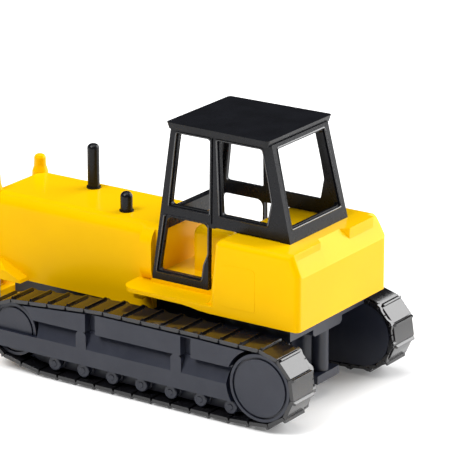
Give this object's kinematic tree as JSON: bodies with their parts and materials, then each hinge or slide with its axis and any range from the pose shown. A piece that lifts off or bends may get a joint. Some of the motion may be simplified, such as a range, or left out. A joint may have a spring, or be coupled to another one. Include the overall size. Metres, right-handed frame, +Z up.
{
  "type": "toy bulldozer",
  "caption": "Small die-cast toy bulldozer with a long hood, an open-window operator cab, track belts on rolling wheels, a lifting front blade and a rear tow hitch.",
  "frame": {"origin": "centre of the bounding box at the ground the tracks stand on", "axes": "+X is the machine's left side, +Y its rear (the blade is at -Y), +Z up"},
  "size_m": [0.0368, 0.0742, 0.0417],
  "materials": {
    "yellow_paint": "gloss yellow paint on die-cast zinc",
    "black_plastic": "black moulded plastic, satin",
    "frame_grey": "dark blue-grey moulded plastic",
    "track_plastic": "near-black moulded plastic",
    "steel": "plain steel wire"
  },
  "bodies": {
    "machine": {"body_shell": "yellow_paint", "cab_frame": "black_plastic", "exhaust_stack": "black_plastic", "air_precleaner": "black_plastic", "chassis": "frame_grey", "rivets": "steel", "blade_pivot_pin": "steel", "track_frame_left": "frame_grey", "track_frame_right": "frame_grey", "track_left": "track_plastic", "track_right": "track_plastic"},
    "blade_frame": {"blade": "yellow_paint", "push_arm_left": "frame_grey", "push_arm_right": "frame_grey", "lift_crossbar": "steel"},
    "lift_rod_left": {"lift_rod_left": "steel"},
    "lift_rod_right": {"lift_rod_right": "steel"},
    "rear_wheel_left": {"rear_wheel_left": "frame_grey"},
    "rear_wheel_right": {"rear_wheel_right": "frame_grey"},
    "front_idler_left": {"front_idler_left": "frame_grey"},
    "front_idler_right": {"front_idler_right": "frame_grey"}
  },
  "joints": [
    {"name": "blade_lift", "type": "hinge", "parent": "machine", "child": "blade_frame", "pos_m": [0, -0.008, 0.006], "axis": [-1, 0, 0], "range_deg": [0, 15]},
    {"name": "lift_rod_left_slide", "type": "slide", "parent": "machine", "child": "lift_rod_left", "axis": [0, 0, 1], "range_m": [0, 0.00485]},
    {"name": "lift_rod_right_slide", "type": "slide", "parent": "machine", "child": "lift_rod_right", "axis": [0, 0, 1], "range_m": [0, 0.00485]},
    {"name": "rear_wheel_left_spin", "type": "hinge", "parent": "machine", "child": "rear_wheel_left", "pos_m": [0.0143, 0.0306, 0.00685], "axis": [1, 0, 0], "continuous": true},
    {"name": "rear_wheel_right_spin", "type": "hinge", "parent": "machine", "child": "rear_wheel_right", "pos_m": [-0.0143, 0.0306, 0.00685], "axis": [1, 0, 0], "continuous": true},
    {"name": "front_idler_left_spin", "type": "hinge", "parent": "machine", "child": "front_idler_left", "pos_m": [0.0143, -0.015, 0.0066], "axis": [1, 0, 0], "continuous": true},
    {"name": "front_idler_right_spin", "type": "hinge", "parent": "machine", "child": "front_idler_right", "pos_m": [-0.0143, -0.015, 0.0066], "axis": [1, 0, 0], "continuous": true}
  ],
  "couplings": [
    {"joint": "lift_rod_left_slide", "follows": "blade_lift", "m_per_rad": 0.01844},
    {"joint": "lift_rod_right_slide", "follows": "blade_lift", "m_per_rad": 0.01844},
    {"joint": "front_idler_left_spin", "follows": "rear_wheel_left_spin", "ratio": 1.2326},
    {"joint": "front_idler_right_spin", "follows": "rear_wheel_right_spin", "ratio": 1.2326}
  ]
}
